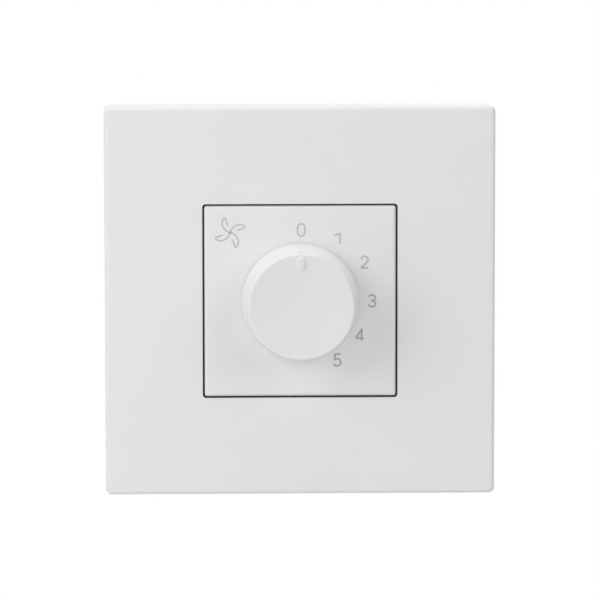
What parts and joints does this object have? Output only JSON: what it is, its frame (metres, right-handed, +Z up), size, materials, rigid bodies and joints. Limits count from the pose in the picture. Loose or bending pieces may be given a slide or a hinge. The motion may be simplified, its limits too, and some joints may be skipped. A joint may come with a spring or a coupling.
{
  "type": "fan speed control switch",
  "caption": "Square white wall plate with a flush insert that carries a rotary fan speed switch: tapered round knob with a raised pointer and a printed step scale.",
  "frame": {"origin": "middle of the two wall screws, in the plane of the wall behind the support frame; the knob's axis runs through it", "axes": "+Y into the wall along the knob's axis, +Z up, +X to the right of someone who faces the switch"},
  "size_m": [0.0916, 0.0511, 0.0916],
  "materials": {
    "plate_white": "satin white moulding",
    "dial_white": "satin white moulding with a grey printed scale",
    "knob_white": "satin white moulding",
    "frame_black": "matt black moulding",
    "housing_grey": "matt light grey moulding",
    "rotor_acetal": "plain white acetal",
    "wafer_brown": "pressed brown laminate",
    "board_green": "green solder mask",
    "capacitor_blue": "moulded box",
    "resistor_ceramic": "unglazed white",
    "resistor_film": "lacquered",
    "spring_steel": "bright strip",
    "shaft_steel": "turned",
    "screw_steel": "zinc plated",
    "contact_bronze": "bright strip",
    "terminal_brass": "milled"
  },
  "bodies": {
    "switch_body": {"cover_plate": "plate_white", "support_frame": "frame_black", "dial_cover": "dial_white", "rear_housing": "housing_grey", "housing_screws": "screw_steel", "detent_spring": "spring_steel", "contact_wafer": "wafer_brown", "step_contacts": "contact_bronze", "common_contact": "contact_bronze", "circuit_board": "board_green", "main_capacitor": "capacitor_blue", "trim_capacitor": "capacitor_blue", "inrush_resistors": "resistor_ceramic", "bleed_resistors": "resistor_film", "line_terminal": "terminal_brass", "fan_terminal": "terminal_brass", "terminal_screws": "screw_steel"},
    "turning_knob": {"knob": "knob_white", "knob_grip_spring": "spring_steel", "switch_shaft": "shaft_steel", "rotor": "rotor_acetal", "wiper_contact": "contact_bronze"}
  },
  "joints": [
    {"name": "knob_turn", "type": "hinge", "parent": "switch_body", "child": "turning_knob", "pos_m": [0, 0, 0], "axis": [0, 1, 0], "range_deg": [0, 150], "deforming": ["detent_spring"]}
  ]
}
